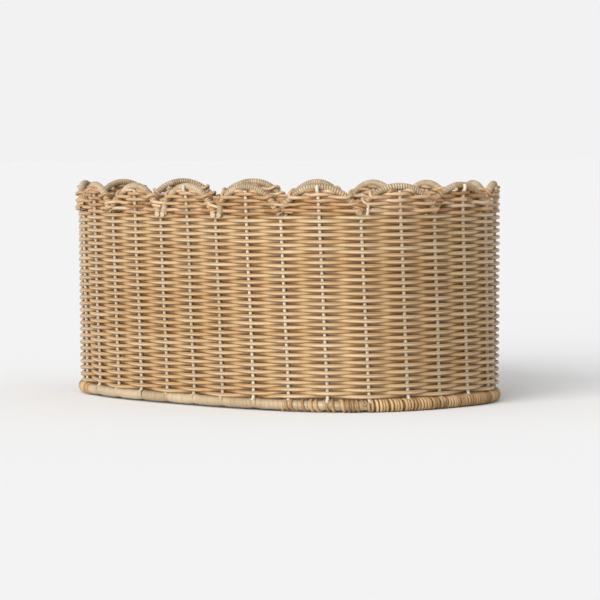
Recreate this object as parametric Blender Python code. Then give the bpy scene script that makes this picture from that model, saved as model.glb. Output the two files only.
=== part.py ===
"""Oval fruit basket of woven rattan with a scalloped rim, in metres, +Z up.

The origin is on the surface the basket stands on, under its middle. The long axis lies along X.
A pole bent to an oval is the base hoop, bound with flat peel along its sides and with round cord
round its ends. Thirty-two thin stakes stand on it. The wall is woven round them, and every second
stake runs on up to the crown of a bent and bound arch, so sixteen arches make the scalloped rim.
"""

import math

import bmesh
import bpy
from mathutils import Matrix, Vector

MM = 0.001

# The basket as a whole.
HEIGHT = 200 * MM
HALF_LENGTH = 210 * MM
HALF_WIDTH = 135.5 * MM
SQUARENESS = 2.75  # exponent of the oval: 2 is an ellipse, more is squarer
FLARE = 0.007  # how much wider the oval is at the rim than on the floor
GAP = 0.3 * MM  # between pieces that touch

# Stakes. Each leans sideways by LEAN stake spacings over the full height.
SCALLOPS = 16
STAKES = 2 * SCALLOPS
FOOT_SHIFT = 0.72
LEAN = 0.24
STAKE_RADIUS = 1.6 * MM

# The base hoop and its two kinds of binding.
POLE_RADIUS = 3.5 * MM
PEEL_RADIUS = 4.5 * MM
CORD_RADIUS = 6.0 * MM
HOOP_HEIGHT = CORD_RADIUS
HOOP_STATIONS = 72
PEEL_SHARE = 0.222  # share of the way round that each side's peel binding takes

# The woven wall.
WALL_HALF_THICKNESS = 4.1 * MM
VALLEY_HEIGHT = 171 * MM
COLUMNS_UNDER_ARCH = 11
FOOT_STEP = 9 * MM  # the weave's foot starts to rise this far before the cord lashing
CHANNEL_RADIUS = STAKE_RADIUS + 0.35 * MM

# The rim's arches: arcs of a circle that start inside the wall and end outside it.
ARCH_RADIUS = 3.25 * MM
ARCH_HALF_SPAN = 35.5 * MM
ARCH_FOOT_HEIGHT = 174.5 * MM
ARCH_STEP_OUT = 3.6 * MM
ARCH_STATIONS = 13

# The woven base.
BASE_BOTTOM = 1.2 * MM
BASE_TOP = 8.8 * MM
BASE_STICKS = 5
BASE_STICK_SPACING = 45 * MM
BASE_STICK_RADIUS = 1.6 * MM
BASE_OUTLINE_POINTS = 72

# Worked out from the sizes above.
ARCH_CROWN = HEIGHT - ARCH_RADIUS
ARCH_RISE = ARCH_CROWN - ARCH_FOOT_HEIGHT
ARCH_BEND = (ARCH_HALF_SPAN**2 + ARCH_RISE**2) / (2 * ARCH_RISE)
ARCH_REACH = math.asin(ARCH_HALF_SPAN / ARCH_BEND)
ARCH_CENTRE = ARCH_CROWN - ARCH_BEND
BASE_MIDDLE = (BASE_BOTTOM + BASE_TOP) / 2


def oval(angle):
    """A point of the stakes' oval, in the direction of this angle from +X."""
    across = abs(math.cos(angle) / HALF_LENGTH) ** SQUARENESS
    along = abs(math.sin(angle) / HALF_WIDTH) ** SQUARENESS
    reach = (across + along) ** (-1 / SQUARENESS)
    return Vector((reach * math.cos(angle), reach * math.sin(angle), 0))


def measured_oval(steps=2880):
    """The oval's points and how far round each one lies, and its length."""
    points = [oval(2 * math.pi * i / steps) for i in range(steps + 1)]
    marks = [0.0]
    for first, second in zip(points, points[1:]):
        marks.append(marks[-1] + (second - first).length)
    return points, marks


OVAL_POINTS, OVAL_MARKS = measured_oval()
GIRTH = OVAL_MARKS[-1]


def round_oval(share):
    """The point this share of the way round the oval, counted from +X towards +Y."""
    target = (share % 1) * GIRTH
    low, high = 0, len(OVAL_MARKS) - 1
    while high - low > 1:
        middle = (low + high) // 2
        if OVAL_MARKS[middle] > target:
            high = middle
        else:
            low = middle
    step = (target - OVAL_MARKS[low]) / (OVAL_MARKS[high] - OVAL_MARKS[low])
    return OVAL_POINTS[low].lerp(OVAL_POINTS[high], step)


def outward(share):
    """The oval's level outward normal there."""
    along = round_oval(share + 0.001) - round_oval(share - 0.001)
    return Vector((along.y, -along.x, 0)).normalized()


def on_wall(share, height, out=0.0):
    """A point of the wall: this far round, this high and this far outwards from the stakes' oval."""
    point = round_oval(share) * (1 + FLARE * height / HEIGHT)
    return point + outward(share) * out + Vector((0, 0, height))


def stake_share(index, height):
    return (index + FOOT_SHIFT - LEAN * height / HEIGHT) / STAKES


def arch_share(index):
    """Where an arch's crown stands: over every second stake."""
    return stake_share(2 * index, HEIGHT)


def weave_foot(share):
    """Just above the hoop's binding: low over the peel on the long sides, high over the cord."""
    from_side = abs((share % 0.5) - 0.25)
    over_peel = from_side < PEEL_SHARE / 2 - FOOT_STEP / GIRTH
    return HOOP_HEIGHT + (PEEL_RADIUS if over_peel else CORD_RADIUS) + GAP


def weave_columns():
    """Where the weave's upright lines stand, and its height there: up to each arch's underside,
    and down in the valleys between the arches' feet."""
    bend = ARCH_BEND - ARCH_RADIUS / math.cos(math.pi / 8) - 2 * GAP
    reach = math.acos((VALLEY_HEIGHT - ARCH_CENTRE) / bend)
    for index in range(SCALLOPS):
        for i in range(COLUMNS_UNDER_ARCH):
            turn = reach * (2 * i / (COLUMNS_UNDER_ARCH - 1) - 1)
            share = arch_share(index) + bend * math.sin(turn) / GIRTH
            yield share, ARCH_CENTRE + bend * math.cos(turn)
        yield arch_share(index) + 0.5 / SCALLOPS, VALLEY_HEIGHT


def finish(name):
    """One finish for each kind of cane: its colour, and how rough it is."""
    colours = {
        "pole": ((0.60, 0.46, 0.29), 0.55),
        "peel": ((0.62, 0.50, 0.33), 0.45),
        "round_core": ((0.61, 0.42, 0.23), 0.60),
        "pale_core": ((0.76, 0.69, 0.58), 0.60),
    }
    material = bpy.data.materials.get(name)
    if material:
        return material
    material = bpy.data.materials.new(name)
    material.use_nodes = True
    shader = material.node_tree.nodes["Principled BSDF"]
    colour, roughness = colours[name]
    shader.inputs["Base Color"].default_value = (*colour, 1)
    shader.inputs["Roughness"].default_value = roughness
    shader.inputs["Metallic"].default_value = 0
    return material


def add_piece(name, shape, material, smooth_below=50):
    """Makes the bmesh one named object, smooth except across edges sharper than this angle."""
    bmesh.ops.recalc_face_normals(shape, faces=shape.faces)
    mesh = bpy.data.meshes.new(name)
    shape.to_mesh(mesh)
    shape.free()
    mesh.shade_smooth()
    mesh.set_sharp_from_angle(angle=math.radians(smooth_below))
    piece = bpy.data.objects.new(name, mesh)
    bpy.context.scene.collection.objects.link(piece)
    if material:
        mesh.materials.append(finish(material))
    return piece


def ring_about(shape, centre, along, side, radius, sides=8):
    """A many-sided ring whose flats stand `radius` from the centre, with one flat facing down."""
    lift = along.cross(side).normalized()
    reach = radius / math.cos(math.pi / sides)
    corners = []
    for i in range(sides):
        turn = 2 * math.pi * (i + 0.5) / sides
        corners.append(shape.verts.new(centre + reach * (math.cos(turn) * side + math.sin(turn) * lift)))
    return corners


def join_rings(shape, first, second):
    count = len(first)
    for i in range(count):
        j = (i + 1) % count
        shape.faces.new((first[i], first[j], second[j], second[i]))


def tube(shape, path, sides_out, radius, closed=False):
    """A tube of one radius along a path, with its ends filled unless it is a closed loop."""
    rings = []
    for i, centre in enumerate(path):
        before = path[i - 1] if i or closed else centre
        after = path[(i + 1) % len(path)] if i + 1 < len(path) or closed else centre
        along = (after - before).normalized()
        side = (sides_out[i] - along * sides_out[i].dot(along)).normalized()
        rings.append(ring_about(shape, centre, along, side, radius))
    for first, second in zip(rings, rings[1:]):
        join_rings(shape, first, second)
    if closed:
        join_rings(shape, rings[-1], rings[0])
    return rings


def hoop_point(station):
    share = station / HOOP_STATIONS
    return round_oval(share) + Vector((0, 0, HOOP_HEIGHT))


def hoop_side(station):
    return outward(station / HOOP_STATIONS)


def add_base_hoop():
    shape = bmesh.new()
    stations = range(HOOP_STATIONS)
    path = [hoop_point(i) for i in stations]
    tube(shape, path, [hoop_side(i) for i in stations], POLE_RADIUS, closed=True)
    add_piece("base_hoop", shape, "pole")


def add_hoop_binding(name, first, last, radius, material):
    """A sleeve round the hoop's pole, from one station to another, open at both ends."""
    shape = bmesh.new()
    path = [hoop_point(i) for i in range(first - 1, last + 2)]
    sides_out = [hoop_side(i) for i in range(first - 1, last + 2)]
    shells = []
    for wall in (radius, POLE_RADIUS + GAP):
        rings = []
        for i in range(1, len(path) - 1):
            along = (path[i + 1] - path[i - 1]).normalized()
            side = (sides_out[i] - along * sides_out[i].dot(along)).normalized()
            centre = path[i]
            if i == 1:
                centre = centre + along * GAP / 2
            if i == len(path) - 2:
                centre = centre - along * GAP / 2
            rings.append(ring_about(shape, centre, along, side, wall))
        for one, other in zip(rings, rings[1:]):
            join_rings(shape, one, other)
        shells.append(rings)
    for end in (0, -1):
        join_rings(shape, shells[0][end], shells[1][end])
    add_piece(name, shape, material)


def add_hoop_bindings():
    half = round(PEEL_SHARE * HOOP_STATIONS / 2)
    quarter = HOOP_STATIONS // 4
    back, front = quarter, 3 * quarter
    add_hoop_binding("hoop_peel_binding_back", back - half, back + half, PEEL_RADIUS, "peel")
    add_hoop_binding("hoop_peel_binding_front", front - half, front + half, PEEL_RADIUS, "peel")
    add_hoop_binding("hoop_cord_lashing_left", back + half, front - half, CORD_RADIUS, "round_core")
    turn = HOOP_STATIONS
    add_hoop_binding("hoop_cord_lashing_right", front + half, back - half + turn, CORD_RADIUS, "round_core")


def rod_between(shape, foot, tip, radius, sides=8):
    axis = tip - foot
    turn = axis.to_track_quat("Z", "X").to_matrix().to_4x4()
    place = Matrix.Translation((foot + tip) / 2) @ turn
    bmesh.ops.create_cone(
        shape, segments=sides, radius1=radius, radius2=radius, depth=axis.length, cap_ends=True, matrix=place
    )


def stake_ends(index, foot, tip):
    """Both ends of a stake that is cut off at these two heights."""
    return on_wall(stake_share(index, foot), foot), on_wall(stake_share(index, tip), tip)


def add_stakes():
    """Even stakes run up to an arch's crown, odd ones end in the valley between two arches."""
    for index in range(STAKES):
        crown = index % 2 == 0
        foot = weave_foot(stake_share(index, 0))
        tip = HEIGHT - 2 * ARCH_RADIUS - 2 * GAP if crown else VALLEY_HEIGHT
        shape = bmesh.new()
        rod_between(shape, *stake_ends(index, foot, tip), STAKE_RADIUS)
        kind = "crown" if crown else "valley"
        add_piece(f"{kind}_stake_{index // 2 + 1:02d}", shape, "pale_core")


def add_arches():
    for index in range(SCALLOPS):
        path = []
        sides_out = []
        for i in range(ARCH_STATIONS):
            turn = ARCH_REACH * (2 * i / (ARCH_STATIONS - 1) - 1)
            from_crown = ARCH_BEND * math.sin(turn)
            share = arch_share(index) + from_crown / GIRTH
            out = ARCH_STEP_OUT * from_crown / ARCH_HALF_SPAN
            path.append(on_wall(share, ARCH_CENTRE + ARCH_BEND * math.cos(turn), out))
            sides_out.append(outward(share))
        shape = bmesh.new()
        rings = tube(shape, path, sides_out, ARCH_RADIUS)
        shape.faces.new(rings[0])
        shape.faces.new(rings[-1])
        add_piece(f"scallop_arch_{index + 1:02d}", shape, "peel")


def add_wall_weave():
    """A band round the stakes with a channel for each, scalloped along its top."""
    shape = bmesh.new()
    thick = WALL_HALF_THICKNESS
    columns = []
    for share, top in weave_columns():
        foot = weave_foot(share)
        corners = ((foot, thick), (top, thick), (top, -thick), (foot, -thick))
        columns.append([shape.verts.new(on_wall(share, height, out)) for height, out in corners])
    for before, after in zip(columns, columns[1:] + columns[:1]):
        join_rings(shape, before, after)
    wall = add_piece("wall_weave", shape, "round_core", smooth_below=30)
    channels = bmesh.new()
    for index in range(STAKES):
        rod_between(channels, *stake_ends(index, 0.0, HEIGHT), CHANNEL_RADIUS)
    cut_from(wall, add_piece("wall_channels", channels, None))


def cut_from(piece, cutter):
    cutter.hide_render = True
    cutter.display_type = "WIRE"
    cut = piece.modifiers.new("channels", "BOOLEAN")
    cut.operation = "DIFFERENCE"
    cut.solver = "EXACT"
    cut.object = cutter


def base_edge(share):
    """The base's edge, just clear of the hoop's binding."""
    return on_wall(share, 0, -(CORD_RADIUS + 2 * GAP))


def base_half_length(across):
    """How far the base reaches along X at this distance from its middle line."""
    shares = [0.25 * i / 360 for i in range(361)]
    return min(base_edge(s).x for s in shares if base_edge(s).y <= across)


def stick_lines():
    for i in range(BASE_STICKS):
        across = (i - (BASE_STICKS - 1) / 2) * BASE_STICK_SPACING
        yield i, across, base_half_length(abs(across) + BASE_STICK_RADIUS)


def add_base():
    """Lengthwise sticks, and the weave that crosses them, as a plate with a channel for each."""
    channels = bmesh.new()
    for index, across, half in stick_lines():
        ends = Vector((-half, across, BASE_MIDDLE)), Vector((half, across, BASE_MIDDLE))
        shape = bmesh.new()
        rod_between(shape, *ends, BASE_STICK_RADIUS)
        add_piece(f"base_stick_{index + 1}", shape, "pale_core")
        beyond = Vector((HALF_LENGTH - half, 0, 0))
        rod_between(channels, ends[0] - beyond, ends[1] + beyond, BASE_STICK_RADIUS + GAP)
    plate = bmesh.new()
    edge = [base_edge(i / BASE_OUTLINE_POINTS) for i in range(BASE_OUTLINE_POINTS)]
    low = [plate.verts.new(point + Vector((0, 0, BASE_BOTTOM))) for point in edge]
    high = [plate.verts.new(point + Vector((0, 0, BASE_TOP))) for point in edge]
    join_rings(plate, low, high)
    plate.faces.new(low)
    plate.faces.new(high)
    weave = add_piece("base_weave", plate, "round_core", smooth_below=30)
    cut_from(weave, add_piece("base_channels", channels, None))


for old in list(bpy.data.objects):
    bpy.data.objects.remove(old, do_unlink=True)
add_base_hoop()
add_hoop_bindings()
add_stakes()
add_wall_weave()
add_arches()
add_base()
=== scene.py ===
import math
import random

import bpy
from mathutils import Euler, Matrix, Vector


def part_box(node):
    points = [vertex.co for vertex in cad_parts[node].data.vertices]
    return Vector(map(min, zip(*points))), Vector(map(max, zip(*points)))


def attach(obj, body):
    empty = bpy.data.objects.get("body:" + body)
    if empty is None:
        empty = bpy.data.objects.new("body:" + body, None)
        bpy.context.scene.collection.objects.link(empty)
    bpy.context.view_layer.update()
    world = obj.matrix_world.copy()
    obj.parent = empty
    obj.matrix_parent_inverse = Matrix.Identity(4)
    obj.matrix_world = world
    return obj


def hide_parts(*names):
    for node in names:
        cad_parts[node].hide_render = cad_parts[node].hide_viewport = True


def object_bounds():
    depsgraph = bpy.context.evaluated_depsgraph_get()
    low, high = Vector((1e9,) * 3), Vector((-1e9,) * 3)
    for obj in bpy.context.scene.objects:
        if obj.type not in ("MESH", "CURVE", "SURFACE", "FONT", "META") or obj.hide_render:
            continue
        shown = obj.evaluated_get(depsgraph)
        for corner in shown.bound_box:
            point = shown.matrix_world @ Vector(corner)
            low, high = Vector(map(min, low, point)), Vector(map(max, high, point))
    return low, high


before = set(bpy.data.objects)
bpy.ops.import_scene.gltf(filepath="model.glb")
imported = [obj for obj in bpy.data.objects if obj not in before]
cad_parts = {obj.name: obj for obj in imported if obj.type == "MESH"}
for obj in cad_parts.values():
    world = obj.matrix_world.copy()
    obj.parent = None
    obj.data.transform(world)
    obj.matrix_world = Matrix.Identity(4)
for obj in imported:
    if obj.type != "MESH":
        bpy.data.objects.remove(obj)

# ---------------------------------------------------------------------------------------------
# Base hoop: one rattan pole, steamed, bent to an oval and scarfed end to end. It lies on the
# floor and everything else is set out from it, so the oval itself is worked out here.

MM = 0.001
CAD_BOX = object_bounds()
HEIGHT = CAD_BOX[1][2]
HOOP_LOW, HOOP_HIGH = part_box("base_hoop")
HOOP_RADIUS = (HOOP_HIGH.z - HOOP_LOW.z) / 2
HOOP_HEIGHT = (HOOP_HIGH.z + HOOP_LOW.z) / 2
HALF_LENGTH = HOOP_HIGH.x - HOOP_RADIUS
HALF_WIDTH = HOOP_HIGH.y - HOOP_RADIUS
SQUARENESS = 2.75  # the oval's exponent: 2 is an ellipse, and more is squarer
FLARE = 0.007  # how much larger the oval is at the rim than on the floor
END_RISE = 0.009  # how much higher the end towards -X has been pulled, as a share of the height
OVAL_STEPS = 1440
NEARBY = 0.001  # the share of the girth over which the oval's direction is taken


def oval_point(angle):
    """The point of the oval in this direction from its middle."""
    along = abs(math.cos(angle) / HALF_LENGTH) ** SQUARENESS
    across = abs(math.sin(angle) / HALF_WIDTH) ** SQUARENESS
    return Vector((math.cos(angle), math.sin(angle), 0)) * (along + across) ** (-1 / SQUARENESS)


oval_points = [oval_point(2 * math.pi * i / OVAL_STEPS) for i in range(OVAL_STEPS + 1)]
oval_marks = [0.0]
for before, after in zip(oval_points, oval_points[1:]):
    oval_marks.append(oval_marks[-1] + (after - before).length)
GIRTH = oval_marks[-1]


def round_oval(share):
    """The point this share of the way round the oval, counted from +X towards +Y."""
    target = (share % 1) * GIRTH
    low, high = 0, OVAL_STEPS
    while high - low > 1:
        middle = (low + high) // 2
        low, high = (low, middle) if oval_marks[middle] > target else (middle, high)
    part = (target - oval_marks[low]) / (oval_marks[high] - oval_marks[low])
    return oval_points[low].lerp(oval_points[high], part)


def on_wall(share, height, out=0.0):
    """A point of the wall: this far round, this high, and this far outside the stakes' oval."""
    foot = round_oval(share)
    along = (round_oval(share + NEARBY) - round_oval(share - NEARBY)).normalized()
    height *= 1 + END_RISE * (min(0.0, foot.x) / HALF_LENGTH) ** 2
    return foot * (1 + FLARE * height / HEIGHT) + Vector((along.y * out, -along.x * out, height))


def linear(colour):
    """An sRGB hex colour as linear red, green, blue and alpha."""
    parts = [int(colour[i : i + 2], 16) / 255 for i in (1, 3, 5)]
    return [p / 12.92 if p <= 0.04045 else ((p + 0.055) / 1.055) ** 2.4 for p in parts] + [1]


def add_node(tree, kind, inputs=(), **settings):
    """Adds a node with its settings. Each input, by place or by name, takes a value or a link."""
    made = tree.nodes.new(kind)
    for name, value in settings.items():
        setattr(made, name, value)
    for name, value in inputs.items() if isinstance(inputs, dict) else enumerate(inputs):
        if isinstance(value, bpy.types.Node):
            tree.links.new(value.outputs[0], made.inputs[name])
        elif isinstance(value, bpy.types.NodeSocket):
            tree.links.new(value, made.inputs[name])
        elif value is not None:
            made.inputs[name].default_value = value
    return made


VESSEL_STRETCH = 20.0  # together these make a vessel about 20 mm long
VESSEL_SCALE = 2.6  # and half a millimetre across on a 3 mm cane
LENGTHS_APART = 37.0  # so that no two lengths have the same fibres
PATCH_SIZE = 0.018  # from one soft patch to the next
NOISE_LOW, NOISE_HIGH = 0.35, 0.65  # nearly all of a noise lies between these
SHOWING_LIMIT = 0.8  # how much of the painted highlight and painted shade the ramp's ends leave room for, each way
GLOSS_RANGE = 0.12  # fibres are this much duller or glossier than the roughness given


def cane_material(name, shades, grain, roughness, fibre, patch=0.5, variety=1.0, painted_light=0.0):
    """Rattan: long fibres down the cane, a shade of its own for each length, and softer patches.

    shades run from dark to pale. grain, patch and variety say how strongly fibres, patches and
    lengths differ, painted_light how much painted highlight goes on the sides that show and painted
    shade on the sides tucked away, and fibre is the fibres' height. The cane's own attributes say where along
    and round it one is."""
    material = bpy.data.materials.new(name)
    material.use_nodes = True
    tree = material.node_tree
    shader = tree.nodes["Principled BSDF"]
    shader.inputs["IOR"].default_value = 1.5
    along = add_node(tree, "ShaderNodeAttribute", attribute_name="along").outputs["Fac"]
    around = add_node(tree, "ShaderNodeAttribute", attribute_name="around").outputs["Fac"]
    length = add_node(tree, "ShaderNodeAttribute", attribute_name="cane_shade").outputs["Fac"]
    # The vessels that run down a cane: fine streaks, seen on its skin as well as on its core.
    turn = add_node(tree, "ShaderNodeMath", [around, 2 * math.pi], operation="MULTIPLY")
    vessels = add_node(
        tree,
        "ShaderNodeCombineXYZ",
        [
            add_node(tree, "ShaderNodeMath", [along, VESSEL_STRETCH], operation="MULTIPLY"),
            add_node(tree, "ShaderNodeMath", [turn], operation="COSINE"),
            add_node(tree, "ShaderNodeMath", [turn], operation="SINE"),
        ],
    )
    apart = add_node(tree, "ShaderNodeMath", [length, LENGTHS_APART], operation="MULTIPLY")
    streaks = add_node(
        tree,
        "ShaderNodeTexNoise",
        {"Vector": vessels, "W": apart, "Scale": VESSEL_SCALE, "Detail": 4.0, "Roughness": 0.6},
        noise_dimensions="4D",
    )
    place = add_node(tree, "ShaderNodeTexCoord").outputs["Object"]
    patches = add_node(tree, "ShaderNodeTexNoise", {"Vector": place, "Scale": 1 / PATCH_SIZE, "Detail": 3.0})
    # A weaver's outer side shows where it passes outside a stake, and its inner side where inside: painted
    # highlight on the side that shows, painted shade on the side tucked behind the stake.
    outside = add_node(tree, "ShaderNodeAttribute", attribute_name="outside").outputs["Fac"]
    facing = add_node(tree, "ShaderNodeMath", [turn], operation="COSINE")
    showing = add_node(tree, "ShaderNodeMath", [outside, facing], operation="MULTIPLY")
    shade = add_node(tree, "ShaderNodeMath", [length, variety], operation="MULTIPLY")
    shade = add_node(tree, "ShaderNodeMath", [streaks, grain, shade], operation="MULTIPLY_ADD")
    shade = add_node(tree, "ShaderNodeMath", [patches, patch, shade], operation="MULTIPLY_ADD")
    shade = add_node(tree, "ShaderNodeMath", [showing, painted_light, shade], operation="MULTIPLY_ADD")
    spread = add_node(
        tree,
        "ShaderNodeMapRange",
        {
            "Value": shade,
            "From Min": NOISE_LOW * (grain + patch) - SHOWING_LIMIT * painted_light,
            "From Max": NOISE_HIGH * (grain + patch) + SHOWING_LIMIT * painted_light + variety,
        },
    )
    ramp = add_node(tree, "ShaderNodeValToRGB", [spread])
    stops = ramp.color_ramp.elements
    while len(stops) < len(shades):
        stops.new(0.5)
    for i, colour in enumerate(shades):
        stops[i].position = i / (len(shades) - 1)
        stops[i].color = linear(colour)
    tree.links.new(ramp.outputs["Color"], shader.inputs["Base Color"])
    rough = add_node(
        tree,
        "ShaderNodeMapRange",
        {"Value": streaks, "To Min": roughness - GLOSS_RANGE, "To Max": roughness + GLOSS_RANGE},
    )
    tree.links.new(rough.outputs[0], shader.inputs["Roughness"])
    bump = add_node(tree, "ShaderNodeBump", {"Height": streaks, "Distance": fibre, "Strength": 0.8})
    tree.links.new(bump.outputs[0], shader.inputs["Normal"])
    return material


def new_tree(name, inputs):
    """A Geometry Nodes tree with these named inputs, and the sockets that they arrive by."""
    tree = bpy.data.node_groups.new(name, "GeometryNodeTree")
    for label, kind in {"Geometry": "Geometry", **inputs, "Material": "Material"}.items():
        tree.interface.new_socket(name=label, in_out="INPUT", socket_type=f"NodeSocket{kind}")
    tree.interface.new_socket(name="Geometry", in_out="OUTPUT", socket_type="NodeSocketGeometry")
    return tree, tree.nodes.new("NodeGroupInput").outputs


def sweep(tree, given, path, across, deep, sides, shade):
    """Ends a tree: a ring, deep through the wall and across it, follows the path as smooth cane.

    Each vertex keeps how far along and round its cane it is, and its cane's shade."""
    where = add_node(tree, "GeometryNodeSplineParameter")
    marked = add_node(
        tree,
        "GeometryNodeStoreNamedAttribute",
        {"Geometry": path, "Name": "along", "Value": where.outputs["Length"]},
    )
    marked = add_node(
        tree,
        "GeometryNodeStoreNamedAttribute",
        {"Geometry": marked, "Name": "cane_shade", "Value": shade},
    )
    ring = add_node(tree, "GeometryNodeCurvePrimitiveCircle", {"Resolution": sides, "Radius": 0.5})
    ring = add_node(
        tree,
        "GeometryNodeStoreNamedAttribute",
        {"Geometry": ring, "Name": "around", "Value": where.outputs["Factor"]},
    )
    size = add_node(tree, "ShaderNodeCombineXYZ", [deep, across, 1.0])
    ring = add_node(tree, "GeometryNodeTransform", {"Geometry": ring, "Scale": size})
    cane = add_node(
        tree, "GeometryNodeCurveToMesh", {"Curve": marked, "Profile Curve": ring, "Fill Caps": True}
    )
    real = add_node(tree, "GeometryNodeRealizeInstances", [cane])
    smooth = add_node(tree, "GeometryNodeSetShadeSmooth", [real])
    finished = add_node(
        tree, "GeometryNodeSetMaterial", {"Geometry": smooth, "Material": given["Material"]}
    )
    add_node(tree, "NodeGroupOutput", [finished])
    return tree


CANES_APART = 61.0  # so that the joins and shades of one cane don't repeat in the next


def shade_by_length(tree, given, apart):
    """A shade from 0 to 1 that changes where one length of cane ends and the next is joined on."""
    where = add_node(tree, "GeometryNodeSplineParameter")
    lengths = add_node(
        tree, "ShaderNodeMath", [where.outputs["Length"], given["Length Cut"]], operation="DIVIDE"
    )
    whole = add_node(tree, "ShaderNodeMath", [lengths], operation="FLOOR")
    which = add_node(tree, "ShaderNodeMath", [apart, CANES_APART, whole], operation="MULTIPLY_ADD")
    seeded = {"ID": which, "Seed": given["Seed"]}
    return add_node(tree, "FunctionNodeRandomValue", seeded, data_type="FLOAT").outputs[1]


def spline_number(tree):
    """Which of the paths a point is on."""
    number = add_node(tree, "GeometryNodeInputIndex")
    return add_node(tree, "GeometryNodeFieldOnDomain", [number], data_type="INT", domain="CURVE").outputs[0]


WANDER_SCALE = 28.0  # a cane wanders and comes back in about 1 / 28 of a metre
PATHS_APART = 3.7  # so that no two canes wander alike


def cane_tree():
    """Paths made into canes: smoothed, stepped evenly, a little wavy, and swept."""
    tree, given = new_tree(
        "Cane",
        {
            "Closed": "Bool",
            "Thickness": "Float",
            "Flatness": "Float",
            "Step": "Float",
            "Waviness": "Float",
            "Sides": "Int",
            "Length Cut": "Float",
            "Seed": "Int",
        },
    )
    path = add_node(tree, "GeometryNodeMeshToCurve", [given["Geometry"]])
    path = add_node(tree, "GeometryNodeSetSplineCyclic", {"Geometry": path, "Cyclic": given["Closed"]})
    path = add_node(tree, "GeometryNodeCurveSplineType", [path], spline_type="CATMULL_ROM")
    path = add_node(
        tree, "GeometryNodeResampleCurve", {"Curve": path, "Length": given["Step"]}, mode="LENGTH"
    )
    place = add_node(tree, "GeometryNodeInputPosition")
    apart = add_node(tree, "ShaderNodeMath", [spline_number(tree), PATHS_APART], operation="MULTIPLY")
    wander = add_node(
        tree,
        "ShaderNodeTexNoise",
        {"Vector": place, "W": apart, "Scale": WANDER_SCALE, "Detail": 1.0},
        noise_dimensions="4D",
    )
    centred = add_node(
        tree, "ShaderNodeVectorMath", [wander.outputs["Color"], (0.5, 0.5, 0.5)], operation="SUBTRACT"
    )
    sway = add_node(
        tree, "ShaderNodeVectorMath", {0: centred, "Scale": given["Waviness"]}, operation="SCALE"
    )
    path = add_node(tree, "GeometryNodeSetPosition", {"Geometry": path, "Offset": sway})
    deep = add_node(tree, "ShaderNodeMath", [given["Thickness"], given["Flatness"]], operation="MULTIPLY")
    shade = shade_by_length(tree, given, spline_number(tree))
    return sweep(tree, given, path, given["Thickness"], deep, given["Sides"], shade)


def paths_object(name, paths):
    """Paths as chains of edges, for a tree to make into canes."""
    edges, start = [], 0
    for path in paths:
        edges += [(start + i, start + i + 1) for i in range(len(path) - 1)]
        start += len(path)
    mesh = bpy.data.meshes.new(name)
    mesh.from_pydata([tuple(point) for path in paths for point in path], edges, [])
    piece = bpy.data.objects.new(name, mesh)
    bpy.context.scene.collection.objects.link(piece)
    return piece


def grow(piece, tree, **values):
    """Runs a tree on a piece with these inputs, and keeps the result as the piece's own mesh."""
    modifier = piece.modifiers.new(tree.name, "NODES")
    modifier.node_group = tree
    for socket in tree.interface.items_tree:
        label = socket.name.replace(" ", "_").lower()
        if socket.in_out == "INPUT" and label in values:
            modifier[socket.identifier] = values[label]
    bpy.context.view_layer.update()
    shaped = piece.evaluated_get(bpy.context.evaluated_depsgraph_get())
    mesh = bpy.data.meshes.new_from_object(shaped)
    piece.modifiers.remove(modifier)
    piece.data = mesh
    mesh.name = piece.name
    return piece


def settle(piece, slot, *nodes):
    """The piece is part of the basket and stands for these solids. The slot is not used."""
    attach(piece, "root")
    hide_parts(*nodes)


POLE_STEPS = 240

cane = cane_tree()
# Pole rattan scraped of its skin: smooth, close-grained and a little darker than the core.
pole_wood = cane_material(
    "scraped_rattan_pole", ("#6F5330", "#866A42", "#9B7E55"), grain=0.5, roughness=0.5, fibre=0.05 * MM
)
hoop_line = [round_oval(i / POLE_STEPS) + Vector((0, 0, HOOP_HEIGHT)) for i in range(POLE_STEPS)]
hoop = paths_object("base_hoop_pole", [hoop_line])
grow(
    hoop,
    cane,
    closed=True,
    thickness=2 * HOOP_RADIUS,
    flatness=1.0,
    step=4 * MM,
    waviness=0.0,
    sides=12,
    length_cut=2.0,
    seed=1,
    material=pole_wood,
)
settle(hoop, "pole", "base_hoop")


# ---------------------------------------------------------------------------------------------
# Stakes: 32 uprights of pale round core. Each foot is bent over the front of the hoop and bound
# down; one stake in two runs up under the crown of a scallop, the others stop in the valleys.

STAKES = 32
FOOT_SHIFT = 0.72  # where the first stake stands, in stake spacings
LEAN = 0.24  # every stake leans round the basket by this many spacings between floor and rim
STAKE_THICKNESS = 3.1 * MM
FOOT_REACH = 4.7 * MM  # from the middle of the hoop to the middle of the foot bent over it
PROUD_FOOT_REACH = 5.5 * MM  # where the foot lies on the binding instead of under it
FOOT_END = 48  # degrees above level at which most feet end on the hoop's front
VALLEY_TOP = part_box("valley_stake_01")[1].z
CROWN_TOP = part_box("crown_stake_01")[1].z
STAKE_HEIGHTS = (0.018, 0.05, 0.09, 0.13)  # where a stake sways a little out of line
SWAY = 0.3 * MM
STRAIGHT_HEIGHT = 0.16
LOOPED_TOPS = (24, 28, 0)  # crown stakes whose ends show in front of the scallop's pole
LOOP = ((11, 1.0), (7.5, 3.0), (4.6, 3.7), (2.4, 3.0))  # how far down from the rim and how far out, in mm
TURNED_TOPS = (21, 29, 31)  # valley stakes turned aside under the last row
LONG_TOP = 29  # the turned stake that runs on up beside the feet of the scallops
# Where a turned stake's points are: the height it leans as at, mm to the side, its height and mm out.
TURNED_END = ((0.166, 0, 0.166, 0), (0.169, 2.0, 0.1692, 0), (0.170, 5.0, 0.1702, 0))
LONG_END = ((0.170, 5.4, 0.175, 2.5), (0.170, 5.4, 0.181, 3.5))
PROUD_FEET = {0: 62, 25: 48, 28: 28, 30: 58}  # stakes whose feet lie on the binding, and where they end


def stake_share(index, height):
    """How far round the oval a stake stands at this height."""
    return (index + FOOT_SHIFT - LEAN * height / HEIGHT) / STAKES


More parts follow.
